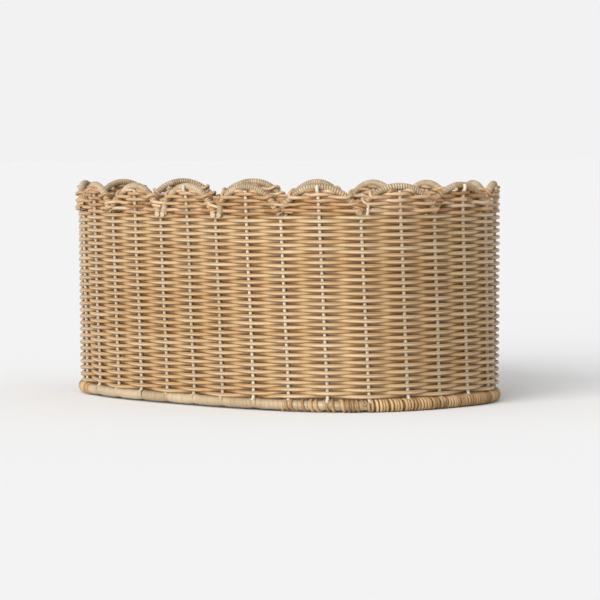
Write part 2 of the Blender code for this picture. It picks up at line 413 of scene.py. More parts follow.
def stake_path(index, chance):
    """One stake from the cut end of its foot, over the front of the hoop and up the wall to its top."""
    reach = PROUD_FOOT_REACH if index in PROUD_FEET else FOOT_REACH
    path = []
    for angle in (PROUD_FEET.get(index, FOOT_END + chance.uniform(-12, 8)), 60, 75):
        turn = math.radians(angle)
        height = HOOP_HEIGHT + reach * math.sin(turn)
        path.append(on_wall(stake_share(index, height), height, reach * math.cos(turn)))
    for height in STAKE_HEIGHTS:
        path.append(on_wall(stake_share(index, height), height, SWAY * math.sin(index * 1.7 + height * 60)))
    path.append(on_wall(stake_share(index, STRAIGHT_HEIGHT), STRAIGHT_HEIGHT))
    if index in TURNED_TOPS:
        for leaning, aside, height, out in TURNED_END + LONG_END * (index == LONG_TOP):
            path.append(on_wall(stake_share(index, leaning) + aside * MM / GIRTH, height, out * MM))
    elif index in LOOPED_TOPS:
        for down, out in LOOP:
            height = HEIGHT - down * MM
            path.append(on_wall(stake_share(index, height), height, out * MM))
    else:
        top = VALLEY_TOP if index % 2 else CROWN_TOP
        path.append(on_wall(stake_share(index, top), top))
    return path


chance = random.Random(5)
stake_paths = [stake_path(index, chance) for index in range(STAKES)]
# Round core sanded and left unstained: almost white, dry and matt.
pale_core = cane_material(
    "pale_rattan_core",
    ("#A69A86", "#BAB09F", "#CBC3B4"),
    grain=0.45,
    roughness=0.62,
    fibre=0.05 * MM,
    patch=0.3,
)
for first, name in ((0, "crown_stake"), (1, "valley_stake")):
    group = paths_object(name + "s", stake_paths[first::2])
    grow(
        group,
        cane,
        closed=False,
        thickness=STAKE_THICKNESS,
        flatness=1.0,
        step=2.5 * MM,
        waviness=0.3 * MM,
        sides=10,
        length_cut=1.0,
        seed=7,
        material=pale_core,
    )
    settle(group, "pale_core", *[f"{name}_{i + 1:02d}" for i in range(STAKES // 2)])


# ---------------------------------------------------------------------------------------------
# Wall weave: plain weave in round core. Two weavers chase each other round the basket, one
# outside the stakes that the other passes inside, and each new row is packed down on the last.

ROW_PITCH = 3.0 * MM
FIRST_ROW = 13.9 * MM
WALL_ROWS = 53
WEAVER_HEIGHT = 3.4 * MM
WEAVER_DEPTH = 2.9 * MM
WEAVE_DEPTH = 3.3 * MM  # how far a weaver stands outside or inside at a stake
STEPS_A_STAKE = 12
PEEL_SHARE = 0.222  # how much of the girth each peel binding takes on the hoop, front and back
PEEL_DIP = 1.5 * MM  # the rows sit lower there, because peel is thinner than cord
DIP_EDGE = 0.016  # the share of the girth over which they come down
DIP_ROWS = 6.0  # and how many of a weaver's own rows make up the difference
DRIFT_RATE = 22.0  # a row strays and comes back in about 1 / 22 of a metre
ROWS_APART = 7.31  # so that no two rows stray alike


def weave_tree():
    """Rows of weaver, every second one, round the stakes of an oval given as a closed path."""
    tree, given = new_tree(
        "Plain weave",
        {
            "Rows": "Int",
            "Row Pitch": "Float",
            "First Row": "Float",
            "Steps": "Int",
            "Stakes": "Float",
            "Foot Shift": "Float",
            "Lean": "Float",
            "Flare": "Float",
            "End Rise": "Float",
            "Half Length": "Float",
            "Side": "Float",
            "Weave Depth": "Float",
            "Weaver Height": "Float",
            "Weaver Depth": "Float",
            "Sides": "Int",
            "Unevenness": "Float",
            "Peel Share": "Float",
            "Peel Dip": "Float",
            "Length Cut": "Float",
            "Seed": "Int",
        },
    )
    path = add_node(tree, "GeometryNodeMeshToCurve", [given["Geometry"]])
    path = add_node(tree, "GeometryNodeSetSplineCyclic", {"Geometry": path, "Cyclic": True})
    path = add_node(
        tree, "GeometryNodeResampleCurve", {"Curve": path, "Count": given["Steps"]}, mode="COUNT"
    )
    rows = add_node(
        tree, "GeometryNodeDuplicateElements", {"Geometry": path, "Amount": given["Rows"]}, domain="SPLINE"
    )
    rows = add_node(
        tree,
        "GeometryNodeStoreNamedAttribute",
        {"Geometry": rows, "Name": "row", "Value": rows.outputs["Duplicate Index"]},
    )
    row = add_node(tree, "GeometryNodeInputNamedAttribute", ["row"]).outputs[0]
    where = add_node(tree, "GeometryNodeSplineParameter")
    share = where.outputs["Factor"]
    level = add_node(
        tree, "ShaderNodeMath", [row, given["Row Pitch"], given["First Row"]], operation="MULTIPLY_ADD"
    )
    # Nothing is quite even: slow wandering along each row, different in every row.
    drift = add_node(
        tree,
        "ShaderNodeCombineXYZ",
        [
            add_node(tree, "ShaderNodeMath", [where.outputs["Length"], DRIFT_RATE], operation="MULTIPLY"),
            add_node(tree, "ShaderNodeMath", [row, ROWS_APART], operation="MULTIPLY"),
            given["Seed"],
        ],
    )
    drift = add_node(tree, "ShaderNodeTexNoise", {"Vector": drift, "Scale": 1.0, "Detail": 1.5})
    drift = add_node(
        tree, "ShaderNodeVectorMath", [drift.outputs["Color"], (0.5, 0.5, 0.5)], operation="SUBTRACT"
    )
    drift = add_node(
        tree, "ShaderNodeVectorMath", {0: drift, "Scale": given["Unevenness"]}, operation="SCALE"
    )
    drift = add_node(tree, "ShaderNodeSeparateXYZ", [drift])
    # The lowest rows dip over the two peel bindings, and the dip dies out upwards.
    half = add_node(tree, "ShaderNodeMath", [share, 0.5], operation="MODULO")
    half = add_node(tree, "ShaderNodeMath", [half, 0.25], operation="SUBTRACT")
    half = add_node(tree, "ShaderNodeMath", [half], operation="ABSOLUTE")
    edge = add_node(tree, "ShaderNodeMath", [given["Peel Share"], 0.5], operation="MULTIPLY")
    inner = add_node(tree, "ShaderNodeMath", [edge, DIP_EDGE], operation="SUBTRACT")
    over_peel = add_node(
        tree,
        "ShaderNodeMapRange",
        {"Value": half, "From Min": inner, "From Max": edge, "To Min": 1.0, "To Max": 0.0},
        interpolation_type="SMOOTHSTEP",
    )
    low = add_node(
        tree,
        "ShaderNodeMapRange",
        {"Value": row, "From Min": 0.0, "From Max": DIP_ROWS, "To Min": 1.0, "To Max": 0.0},
    )
    dip = add_node(tree, "ShaderNodeMath", [over_peel, low], operation="MULTIPLY")
    dip = add_node(tree, "ShaderNodeMath", [dip, given["Peel Dip"]], operation="MULTIPLY")
    level = add_node(tree, "ShaderNodeMath", [level, dip], operation="SUBTRACT")
    level = add_node(tree, "ShaderNodeMath", [level, drift.outputs["X"]], operation="ADD")
    # Which stake this is, allowing for the lean: whole numbers are stakes.
    rise = add_node(tree, "ShaderNodeMath", [level, HEIGHT], operation="DIVIDE")
    stake = add_node(
        tree, "ShaderNodeMath", [share, given["Stakes"], given["Side"]], operation="MULTIPLY_ADD"
    )
    stake = add_node(tree, "ShaderNodeMath", [stake, given["Foot Shift"]], operation="SUBTRACT")
    stake = add_node(tree, "ShaderNodeMath", [rise, given["Lean"], stake], operation="MULTIPLY_ADD")
    swing = add_node(tree, "ShaderNodeMath", [stake, math.pi], operation="MULTIPLY")
    swing = add_node(tree, "ShaderNodeMath", [swing], operation="COSINE")
    outside = add_node(tree, "ShaderNodeMath", [swing, -1.0], operation="MULTIPLY")
    out = add_node(tree, "ShaderNodeMath", [swing, given["Weave Depth"]], operation="MULTIPLY")
    out = add_node(tree, "ShaderNodeMath", [drift.outputs["Y"], out], operation="SUBTRACT")
    tangent = add_node(tree, "GeometryNodeInputTangent")
    outward = add_node(tree, "ShaderNodeVectorMath", [tangent, (0, 0, 1)], operation="CROSS_PRODUCT")
    offset = add_node(tree, "ShaderNodeVectorMath", {0: outward, "Scale": out}, operation="SCALE")
    spread = add_node(tree, "ShaderNodeMath", [rise, given["Flare"], 1.0], operation="MULTIPLY_ADD")
    # The end towards -X is pulled up, more the nearer a point is to it.
    place = add_node(tree, "GeometryNodeInputPosition")
    end = add_node(tree, "ShaderNodeSeparateXYZ", [place])
    end = add_node(tree, "ShaderNodeMath", [end, 0.0], operation="MINIMUM")
    end = add_node(tree, "ShaderNodeMath", [end, given["Half Length"]], operation="DIVIDE")
    end = add_node(tree, "ShaderNodeMath", [end, end], operation="MULTIPLY")
    end = add_node(tree, "ShaderNodeMath", [end, given["End Rise"], 1.0], operation="MULTIPLY_ADD")
    level = add_node(tree, "ShaderNodeMath", [level, end], operation="MULTIPLY")
    place = add_node(tree, "ShaderNodeVectorMath", {0: place, "Scale": spread}, operation="SCALE")
    place = add_node(tree, "ShaderNodeVectorMath", [place, offset], operation="ADD")
    lift = add_node(tree, "ShaderNodeCombineXYZ", [0.0, 0.0, level])
    place = add_node(tree, "ShaderNodeVectorMath", [place, lift], operation="ADD")
    shade = shade_by_length(tree, given, row)
    shaded = add_node(
        tree, "GeometryNodeStoreNamedAttribute", {"Geometry": rows, "Name": "cane_shade", "Value": shade}
    )
    # How far outside the stakes a weaver is, which the material turns into painted highlight and painted
    # shade.
    shaded = add_node(
        tree, "GeometryNodeStoreNamedAttribute", {"Geometry": shaded, "Name": "outside", "Value": outside}
    )
    woven = add_node(tree, "GeometryNodeSetPosition", {"Geometry": shaded, "Position": place})
    level_up = add_node(tree, "GeometryNodeSetCurveNormal", [woven], mode="Z_UP")
    kept = add_node(tree, "GeometryNodeInputNamedAttribute", ["cane_shade"]).outputs[0]
    return sweep(
        tree, given, level_up, given["Weaver Height"], given["Weaver Depth"], given["Sides"], kept
    )


weave = weave_tree()
# Round core as it comes off the machine, honey coloured, with a thin clear sealer.
core = cane_material(
    "rattan_core",
    ("#784B22", "#987347", "#AD916B", "#BCA98A"),
    grain=0.5,
    roughness=0.38,
    fibre=0.06 * MM,
    patch=0.5,
    variety=0.38,
    # painted highlight where a weaver's side shows, painted shade where it is tucked behind a stake
    painted_light=0.6,
)
for first, name in ((0, "wall_weaver_low"), (1, "wall_weaver_high")):
    weaver = paths_object(name, [[round_oval(i / POLE_STEPS) for i in range(POLE_STEPS)]])
    grow(
        weaver,
        weave,
        rows=(WALL_ROWS + 1 - first) // 2,
        row_pitch=2 * ROW_PITCH,
        first_row=FIRST_ROW + first * ROW_PITCH,
        steps=STAKES * STEPS_A_STAKE,
        stakes=float(STAKES),
        foot_shift=FOOT_SHIFT,
        lean=LEAN,
        flare=FLARE,
        end_rise=END_RISE,
        half_length=HALF_LENGTH,
        side=float(first),
        weave_depth=WEAVE_DEPTH,
        weaver_height=WEAVER_HEIGHT,
        weaver_depth=WEAVER_DEPTH,
        sides=8,
        unevenness=1.05 * MM,
        peel_share=PEEL_SHARE,
        peel_dip=PEEL_DIP,
        length_cut=0.5,
        seed=11 + first,
        material=core,
    )
    settle(weaver, "round_core", "wall_weave")


# ---------------------------------------------------------------------------------------------
# Bindings on the hoop. Front and back, wide peel (the cane's own skin, shaved flat) is wound on
# with its edges touching, over the feet of the stakes; round both ends the lashing is thin cord.

PEEL_RADIUS = (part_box("hoop_peel_binding_front")[1].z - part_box("hoop_peel_binding_front")[0].z) / 2
CORD_RADIUS = (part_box("hoop_cord_lashing_left")[1].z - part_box("hoop_cord_lashing_left")[0].z) / 2
HOOP_PEEL_WIDTH = 5.2 * MM
HOOP_PEEL_SPACING = 4.7 * MM
PEEL_THICKNESS = 0.7 * MM
FOOT_BULGE = 0.8 * MM  # how far a foot lifts the peel that covers it
FOOT_BULGE_LENGTH = 5 * MM
CORD_THICKNESS = 3.0 * MM
CORD_WIDTH = 2.7 * MM
CORD_SPACING = 3.25 * MM
LOOSE_SHARE = 0.066  # beside each peel binding the cord starts with loose turns over the peel
LOOSE_SPACING = 6.4 * MM
CORNER_SHARE = 0.012  # how much further the peel runs on round the left end of each side
PATH_STEP = 2 * MM


RIPPLE_RATE = 0.45  # the turns crowd and part about once in every two
WINDINGS_APART = 9.1  # so that no two windings ripple alike
WINDING_START = 0.37  # nor start at the same side of the rod


def winding_tree():
    """A strip wound round paths like thread on a rod, its flat side always to the rod."""
    tree, given = new_tree(
        "Winding",
        {
            "Strip Radius": "Float",
            "Strip Width": "Float",
            "Strip Thickness": "Float",
            "Turn Spacing": "Float",
            "Steps a Turn": "Int",
            "Unevenness": "Float",
            "Sides": "Int",
            "Length Cut": "Float",
            "Seed": "Int",
        },
    )
    path = add_node(tree, "GeometryNodeMeshToCurve", [given["Geometry"]])
    step = add_node(
        tree, "ShaderNodeMath", [given["Turn Spacing"], given["Steps a Turn"]], operation="DIVIDE"
    )
    path = add_node(tree, "GeometryNodeCurveSplineType", [path], spline_type="CATMULL_ROM")
    path = add_node(tree, "GeometryNodeResampleCurve", {"Curve": path, "Length": step}, mode="LENGTH")
    path = add_node(tree, "GeometryNodeSetCurveNormal", [path], mode="Z_UP")
    length = add_node(tree, "GeometryNodeSplineParameter").outputs["Length"]
    apart = add_node(
        tree, "ShaderNodeMath", [spline_number(tree), WINDINGS_APART, given["Seed"]], operation="MULTIPLY_ADD"
    )
    turns = add_node(tree, "ShaderNodeMath", [length, given["Turn Spacing"]], operation="DIVIDE")
    ripple = add_node(tree, "ShaderNodeMath", [turns, RIPPLE_RATE], operation="MULTIPLY")
    ripple = add_node(tree, "ShaderNodeCombineXYZ", [ripple, apart, 0.5])
    ripple = add_node(tree, "ShaderNodeTexNoise", {"Vector": ripple, "Scale": 1.0, "Detail": 1.0})
    loose = add_node(tree, "ShaderNodeMath", [ripple, given["Unevenness"], turns], operation="MULTIPLY_ADD")
    loose = add_node(tree, "ShaderNodeMath", [apart, WINDING_START, loose], operation="MULTIPLY_ADD")
    angle = add_node(tree, "ShaderNodeMath", [loose, 2 * math.pi], operation="MULTIPLY")
    normal = add_node(tree, "GeometryNodeInputNormal")
    tangent = add_node(tree, "GeometryNodeInputTangent")
    third = add_node(tree, "ShaderNodeVectorMath", [tangent, normal], operation="CROSS_PRODUCT")
    cosine = add_node(tree, "ShaderNodeMath", [angle], operation="COSINE")
    sine = add_node(tree, "ShaderNodeMath", [angle], operation="SINE")
    first = add_node(tree, "ShaderNodeVectorMath", {0: normal, "Scale": cosine}, operation="SCALE")
    second = add_node(tree, "ShaderNodeVectorMath", {0: third, "Scale": sine}, operation="SCALE")
    radial = add_node(tree, "ShaderNodeVectorMath", [first, second], operation="ADD")
    facing = add_node(tree, "GeometryNodeSetCurveNormal", {"Curve": path, "Normal": radial}, mode="FREE")
    outward = add_node(tree, "GeometryNodeInputNormal")
    offset = add_node(
        tree, "ShaderNodeVectorMath", {0: outward, "Scale": given["Strip Radius"]}, operation="SCALE"
    )
    wound = add_node(tree, "GeometryNodeSetPosition", {"Geometry": facing, "Offset": offset})
    shade = shade_by_length(tree, given, spline_number(tree))
    return sweep(tree, given, wound, given["Strip Width"], given["Strip Thickness"], given["Sides"], shade)


def hoop_stretch(low, high, bulging):
    """The middle of the binding from one share of the girth to another, over the stakes' feet."""
    path = []
    for i in range(round((high - low) * GIRTH / PATH_STEP) + 1):
        share = low + i * PATH_STEP / GIRTH
        nearest = (share * STAKES - FOOT_SHIFT + 0.5) % 1 - 0.5
        bulge = math.exp(-((nearest / STAKES * GIRTH / FOOT_BULGE_LENGTH) ** 2)) * FOOT_BULGE * bulging
        path.append(on_wall(share, HOOP_HEIGHT + bulge, bulge * 0.5))
    return path


winding = winding_tree()
# Peel keeps the cane's glassy skin: greener, paler and shinier than the core.
peel = cane_material(
    "rattan_peel",
    ("#8D785A", "#998466", "#A48F72", "#B19E83"),
    grain=0.6,
    roughness=0.4,
    fibre=0.04 * MM,
    patch=0.6,
)
# The lashing is thin round core, handled more than the wall and so a little duller.
cord_core = cane_material(
    "fine_rattan_core",
    ("#725230", "#917048", "#AC8B60", "#BEA179"),
    grain=0.6,
    roughness=0.45,
    fibre=0.05 * MM,
    patch=0.4,
)
for side, middle in (("back", 0.25), ("front", 0.75)):
    low, high = middle - PEEL_SHARE / 2 - CORNER_SHARE, middle + PEEL_SHARE / 2 + LOOSE_SHARE
    binding = paths_object(f"hoop_peel_{side}", [hoop_stretch(low, high, 1.0)])
    grow(
        binding,
        winding,
        strip_radius=PEEL_RADIUS - PEEL_THICKNESS / 2,
        strip_width=HOOP_PEEL_WIDTH,
        strip_thickness=PEEL_THICKNESS,
        turn_spacing=HOOP_PEEL_SPACING,
        steps_a_turn=16,
        unevenness=0.5,
        sides=8,
        length_cut=0.11,
        seed=3,
        material=peel,
    )
    settle(binding, "peel", f"hoop_peel_binding_{side}")
for side, middle in (("left", 0.5), ("right", 1.0)):
    low, high = middle - 0.25 + PEEL_SHARE / 2, middle + 0.25 - PEEL_SHARE / 2
    lashing = paths_object(f"hoop_cord_{side}", [hoop_stretch(low + LOOSE_SHARE, high - CORNER_SHARE, 0.4)])
    grow(
        lashing,
        winding,
        strip_radius=CORD_RADIUS - CORD_THICKNESS / 2,
        strip_width=CORD_WIDTH,
        strip_thickness=CORD_THICKNESS,
        turn_spacing=CORD_SPACING,
        steps_a_turn=14,
        unevenness=1.6,
        sides=7,
        length_cut=0.05,
        seed=5,
        material=cord_core,
    )
    settle(lashing, "round_core", f"hoop_cord_lashing_{side}")
loose_turns = paths_object(
    "hoop_cord_loose_turns",
    [hoop_stretch(end, end + LOOSE_SHARE, 0.6) for end in (0.25 + PEEL_SHARE / 2, 0.75 + PEEL_SHARE / 2)],
)
grow(
    loose_turns,
    winding,
    strip_radius=CORD_RADIUS - CORD_THICKNESS / 2,
    strip_width=CORD_THICKNESS,
    strip_thickness=CORD_THICKNESS,
    turn_spacing=LOOSE_SPACING,
    steps_a_turn=16,
    unevenness=3.2,
    sides=8,
    length_cut=0.05,
    seed=8,
    material=cord_core,
)
settle(loose_turns, "round_core", "hoop_cord_lashing_left", "hoop_cord_lashing_right")


# ---------------------------------------------------------------------------------------------
# Scallops: sixteen short poles, each bent to an arch over its crown stake with its feet side by
# side with its neighbours' in the valleys, and each wound with narrow peel before it is fixed.

ARCH_RADIUS = 3.25 * MM
ARCH_PEEL_THICKNESS = 1.2 * MM
ARCH_PEEL_WIDTH = 2.2 * MM
ARCH_PEEL_SPACING = 2.35 * MM
ARCH_HALF_SPAN = 35.5 * MM
ARCH_FOOT_HEIGHT = 174.5 * MM
ARCH_STEP_OUT = 2.6 * MM  # how far one foot stands outside the middle of the pole, and the other inside
ARCH_SET_BACK = 1.2 * MM  # how far inside the stakes the middle of the pole is
ARCH_CROWN = HEIGHT - ARCH_RADIUS
ARCH_RISE = ARCH_CROWN - ARCH_FOOT_HEIGHT
ARCH_BEND = (ARCH_HALF_SPAN**2 + ARCH_RISE**2) / (2 * ARCH_RISE)
ARCH_CENTRE = ARCH_CROWN - ARCH_BEND
ARCH_REACH = math.asin(ARCH_HALF_SPAN / ARCH_BEND)
PAIRED_VALLEYS = (2, 5, 11, 12)  # the valleys where both neighbours' cut ends look out
TUCKED_VALLEYS = (0, 3, 6, 8, 10, 13, 15)  # those where both legs cross in front and are tucked in
# The last points of each kind of leg: how far down the leg, then mm out, round the basket and down.
PAIRED_OUTER_LEG = ((0.80, 0, 0, 0), (0.95, 1.0, 1.0, 0), (1, 2.6, 3.6, 1.6), (1, 6.1, 5.4, 2.7))
PAIRED_INNER_LEG = (
    (0.72, 2, 0, 0),
    (0.85, 3.4, 3, 0),
    (0.96, 5.2, 7, 0),
    (1, 7.6, 10, 1.8),
    (1, 11.3, 11, 2.7),
)
TUCKED_OUTER_LEG = ((0.80, 1.0, 0, 0), (0.95, 1.5, 0, 0), (1.03, -1.0, 0, 0))
TUCKED_INNER_LEG = ((0.80, 3.6, 0, 0), (0.95, 4.6, 0, 0), (1.03, 1.0, 0, 0))
CUT_OUTER_LEG = ((0.85, 0.4, 0, 0), (0.97, 1.8, 0, 0), (1.02, 5.0, 0, 0))
HIDDEN_INNER_LEG = ((0.85, 0, 0, 0), (1, 0, 0, 0))
PAIR_BARE_END = 3.2 * MM  # how much of a paired end the peel leaves bare
BARE_END = 0.5 * MM  # and of any other
MIDDLE_PART = 0.7  # the share of each leg that all the arches bend alike
POLE_GRIP = 0.4 * MM  # how much thicker the pole is than the inside of its winding
SCALLOPS = STAKES // 2


def arch_point(index, turn, out=0.0, lift=0.0, aside=0.0, down=0.0):
    """A point of the arch's middle line, turned this far from its crown, and shifted off it."""
    from_crown = (ARCH_BEND + lift) * math.sin(turn)
    step_out = ARCH_STEP_OUT * from_crown / ARCH_HALF_SPAN
    height = ARCH_CENTRE + (ARCH_BEND + lift) * math.cos(turn) - down
    share = stake_share(2 * index, HEIGHT) + (from_crown + aside) / GIRTH
    return on_wall(share, height, step_out - ARCH_SET_BACK + out)


def leg_end(index, way):
    """How one leg of an arch ends: brought out and cut, tucked back into the weave, or left inside."""
    valley = index if way > 0 else (index - 1) % SCALLOPS
    if valley in PAIRED_VALLEYS:
        route = PAIRED_OUTER_LEG if way > 0 else PAIRED_INNER_LEG
    elif valley in TUCKED_VALLEYS:
        route = TUCKED_OUTER_LEG if way > 0 else TUCKED_INNER_LEG
    else:
        route = CUT_OUTER_LEG if way > 0 else HIDDEN_INNER_LEG
    return [
        arch_point(index, way * ARCH_REACH * part, out * MM, aside=aside * MM, down=down * MM)
        for part, out, aside, down in route
    ]


def arch_path(index, peeled=False):
    """One scallop's pole from its left foot to its right, or the part of it that is wound with peel."""
    middle = [arch_point(index, ARCH_REACH * (i / 9 - 1) * MIDDLE_PART) for i in range(19)]
    path = leg_end(index, -1)[::-1] + middle + leg_end(index, 1)
    for valley in ((index - 1) % SCALLOPS, index):
        path.reverse()
        left = peeled * (PAIR_BARE_END if valley in PAIRED_VALLEYS else BARE_END)
        while left > 0 and (path[-1] - path[-2]).length < left:
            left -= (path.pop() - path[-1]).length
        if left > 0:
            path[-1] = path[-1].lerp(path[-2], left / (path[-1] - path[-2]).length)
    return path


arch_nodes = [f"scallop_arch_{i + 1:02d}" for i in range(SCALLOPS)]
# The cut ends of the poles, a little browned by handling.
pole_core = cane_material(
    "rattan_pole_core",
    ("#94805F", "#AC9877", "#BFAD8D"),
    grain=0.6,
    roughness=0.6,
    fibre=0.05 * MM,
    patch=0.3,
)
# Peel shaved finer than the hoop's, from paler skin.
fine_peel = cane_material(
    "fine_rattan_peel",
    ("#8B7659", "#9A8568", "#A69176", "#B4A188"),
    grain=0.6,
    roughness=0.42,
    fibre=0.04 * MM,
    patch=0.5,
)
poles = paths_object("scallop_poles", [arch_path(index) for index in range(SCALLOPS)])
grow(
    poles,
    cane,
    closed=False,
    thickness=2 * (ARCH_RADIUS - ARCH_PEEL_THICKNESS) + POLE_GRIP,
    flatness=1.0,
    step=3 * MM,
    waviness=0.0,
    sides=12,
    length_cut=1.0,
    seed=4,
    material=pole_core,
)
settle(poles, "pole", *arch_nodes)
arch_peel = paths_object("scallop_peel", [arch_path(index, peeled=True) for index in range(SCALLOPS)])
grow(
    arch_peel,
    winding,
    strip_radius=ARCH_RADIUS - ARCH_PEEL_THICKNESS / 2,
    strip_width=ARCH_PEEL_WIDTH,
    strip_thickness=ARCH_PEEL_THICKNESS,
    turn_spacing=ARCH_PEEL_SPACING,
    steps_a_turn=12,
    unevenness=0.5,
    sides=6,
    length_cut=0.07,
    seed=6,
    material=fine_peel,
)
settle(arch_peel, "peel", *arch_nodes)


# ---------------------------------------------------------------------------------------------
# Filling of the scallops: under each arch one weaver goes to and fro, outside the pole and the
# crown stake by turns, and turns back each time round the leg of the arch.

# The same core painted as if in full light, with no hidden side and no painted shade: one shade all round,
# paler in its darker shades and a little pinker than the wall's.
lit_core = cane_material(
    "bleached_rattan_core",
    ("#80582E", "#9C764D", "#B08F6A", "#C0A686"),
    grain=0.6,
    roughness=0.38,
    fibre=0.06 * MM,
    patch=0.6,
)
LAST_ROW = 60  # it only tucks in under the arch
LAST_ROW_REACH = 0.8
FILLING_PITCH = 2.86 * MM
TURN_REACH = ARCH_RADIUS + 1.15 * MM  # from the middle of the leg to the middle of the turning weaver
FILLING_THICKNESS = 3.3 * MM
ROW_STRAY = 0.3  # mm that a whole row may lie high or low
POINT_STRAY = 0.55  # and any point of it
CROSSING = 1.15  # the weaver is through to the other side a little before it reaches the leg
FILLING_BULGE = 0.3  # how much further out the filling stands at the legs than at the stake


def leg_turn(height):
    """How far round from the crown the arch's middle line is at this height."""
    return math.acos(max(math.cos(ARCH_REACH), min(1, (height - ARCH_CENTRE) / ARCH_BEND)))


def row_height(row):
    """The height of a row of filling, counted on from the last whole row of the wall."""
    return FIRST_ROW + WALL_ROWS * ROW_PITCH + (row - WALL_ROWS) * FILLING_PITCH


def filling_path(index, chance):
    """The weaver under one arch, to and fro from the lowest row to the last, and round the legs."""
    path = []
    for row in range(WALL_ROWS, LAST_ROW + 1):
        way = 1 if row % 2 else -1
        height = row_height(row) + chance.uniform(-ROW_STRAY, ROW_STRAY) * MM
        at_crown = 1 if row % 2 else -1
        leg = leg_turn(height)
        reach = ARCH_BEND * math.sin(leg)
        for part in (-0.75, -0.5, -0.25, 0, 0.25, 0.5, 0.75):
            from_crown = way * part * reach
            spread = abs(part)
            side = at_crown * math.cos(math.pi * min(1.0, spread * CROSSING))
            base = (ARCH_STEP_OUT * from_crown / ARCH_HALF_SPAN - ARCH_SET_BACK) * spread
            rise = chance.uniform(-POINT_STRAY, POINT_STRAY) * MM
            if row == LAST_ROW:
                from_crown *= LAST_ROW_REACH
            share = stake_share(2 * index, height) + from_crown / GIRTH
            out = base + side * WEAVE_DEPTH * (1 + FILLING_BULGE * spread)
            path.append(on_wall(share, height + rise, out))
        if row + 1 >= LAST_ROW:
            continue
        next_leg = leg_turn(row_height(row + 1))
        for step in range(6):
            part = step / 5
            angle = math.pi * part
            turn = way * (leg + (next_leg - leg) * part)
            side = -at_crown * math.cos(angle)
            path.append(arch_point(index, turn, side * TURN_REACH, math.sin(angle) * TURN_REACH))
    return path


chance = random.Random(21)
filling = paths_object("scallop_filling", [filling_path(index, chance) for index in range(SCALLOPS)])
grow(
    filling,
    cane,
    closed=False,
    thickness=FILLING_THICKNESS,
    flatness=0.94,
    step=2.6 * MM,
    waviness=0.5 * MM,
    sides=8,
    length_cut=0.09,
    seed=9,
    material=lit_core,
)
settle(filling, "round_core", "wall_weave")


# ---------------------------------------------------------------------------------------------
# Ties: where the feet of two scallops meet in a valley, the end of the filling is wound round
# both legs and tucked away, which holds them together and to the wall.

TIE_LOW = 178.0 * MM
TIE_RISE = 2.9 * MM  # from one turn to the next
TIE_TURNS = 1.6
TIE_THICKNESS = 2.9 * MM
TIE_STEPS = 12
TIE_PRESS = 0.4  # the tie's middle is this much of its thickness outside the legs
LEGS_APART = 0.8  # the legs it goes round are this much of their full step apart


def tie_path(valley, chance):
    """A flattened coil round the two legs that meet over this valley stake."""
    low = TIE_LOW + chance.uniform(-1, 2) * MM
    start = chance.uniform(0, 1)
    slant = chance.uniform(-2, 2) * MM
    path = []
    for step in range(round(TIE_TURNS * TIE_STEPS) + 1):
        turn = start + step / TIE_STEPS
        level = low + step / TIE_STEPS * TIE_RISE
        apart = GIRTH / STAKES - ARCH_BEND * math.sin(leg_turn(level))
        round_by = math.cos(2 * math.pi * turn) * (apart + ARCH_RADIUS + TIE_THICKNESS * TIE_PRESS)
        depth = ARCH_RADIUS + ARCH_STEP_OUT * LEGS_APART + TIE_THICKNESS * TIE_PRESS
        out = math.sin(2 * math.pi * turn) * depth
        share = stake_share(2 * valley + 1, HEIGHT) + round_by / GIRTH
        path.append(on_wall(share, level + slant * math.cos(2 * math.pi * turn), out - ARCH_SET_BACK))
    return path


chance = random.Random(33)
ties = paths_object("scallop_ties", [tie_path(valley, chance) for valley in range(SCALLOPS)])
grow(
    ties,
    cane,
    closed=False,
    thickness=TIE_THICKNESS,
    flatness=1.0,
    step=2 * MM,
    waviness=0.5 * MM,
    sides=8,
    length_cut=0.09,
    seed=14,
    material=lit_core,
)
settle(ties, "round_core", "wall_weave")


# ---------------------------------------------------------------------------------------------
# Base: five lengthwise sticks with round core woven across them, every row running over one
# stick and under the next, and its ends caught in the hoop's binding.

STICKS = 5
STICK_LOW, STICK_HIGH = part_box("base_stick_1")
STICK_HEIGHT = (STICK_LOW.z + STICK_HIGH.z) / 2
STICK_RADIUS = (STICK_HIGH.z - STICK_LOW.z) / 2
BASE_PITCH = 2.9 * MM
BASE_DEPTH = 2.3 * MM
BASE_STEP = 4 * MM
HOOP_CLEARANCE = 4.5 * MM  # from the middle of the hoop to the end of a stick
ROW_CLEARANCE = 3 * MM  # and to the end of a row


def half_chord(x, half_length, half_width):
    """Half the oval's width at this distance from its middle."""
    return half_width * max(0.0, 1 - abs(x / half_length) ** SQUARENESS) ** (1 / SQUARENESS)


sticks = []
stick_boxes = [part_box(f"base_stick_{i + 1}") for i in range(STICKS)]
stick_places = [(low.y + high.y) / 2 for low, high in stick_boxes]
stick_spacing = abs(stick_places[1] - stick_places[0])
for place in stick_places:
    end = half_chord(place * HALF_LENGTH / HALF_WIDTH, HALF_LENGTH, HALF_LENGTH) - HOOP_CLEARANCE
    sticks.append([Vector((end * (i / 10 - 1), place, STICK_HEIGHT)) for i in range(21)])
base_sticks = paths_object("base_sticks", sticks)
grow(
    base_sticks,
    cane,
    closed=False,
    thickness=2 * STICK_RADIUS,
    flatness=1.0,
    step=6 * MM,
    waviness=0.4 * MM,
    sides=10,
    length_cut=1.0,
    seed=12,
    material=pale_core,
)
settle(base_sticks, "pale_core", *[f"base_stick_{i + 1}" for i in range(STICKS)])
row_paths = []
row_count = int((HALF_LENGTH - HOOP_CLEARANCE - ROW_CLEARANCE) / BASE_PITCH)
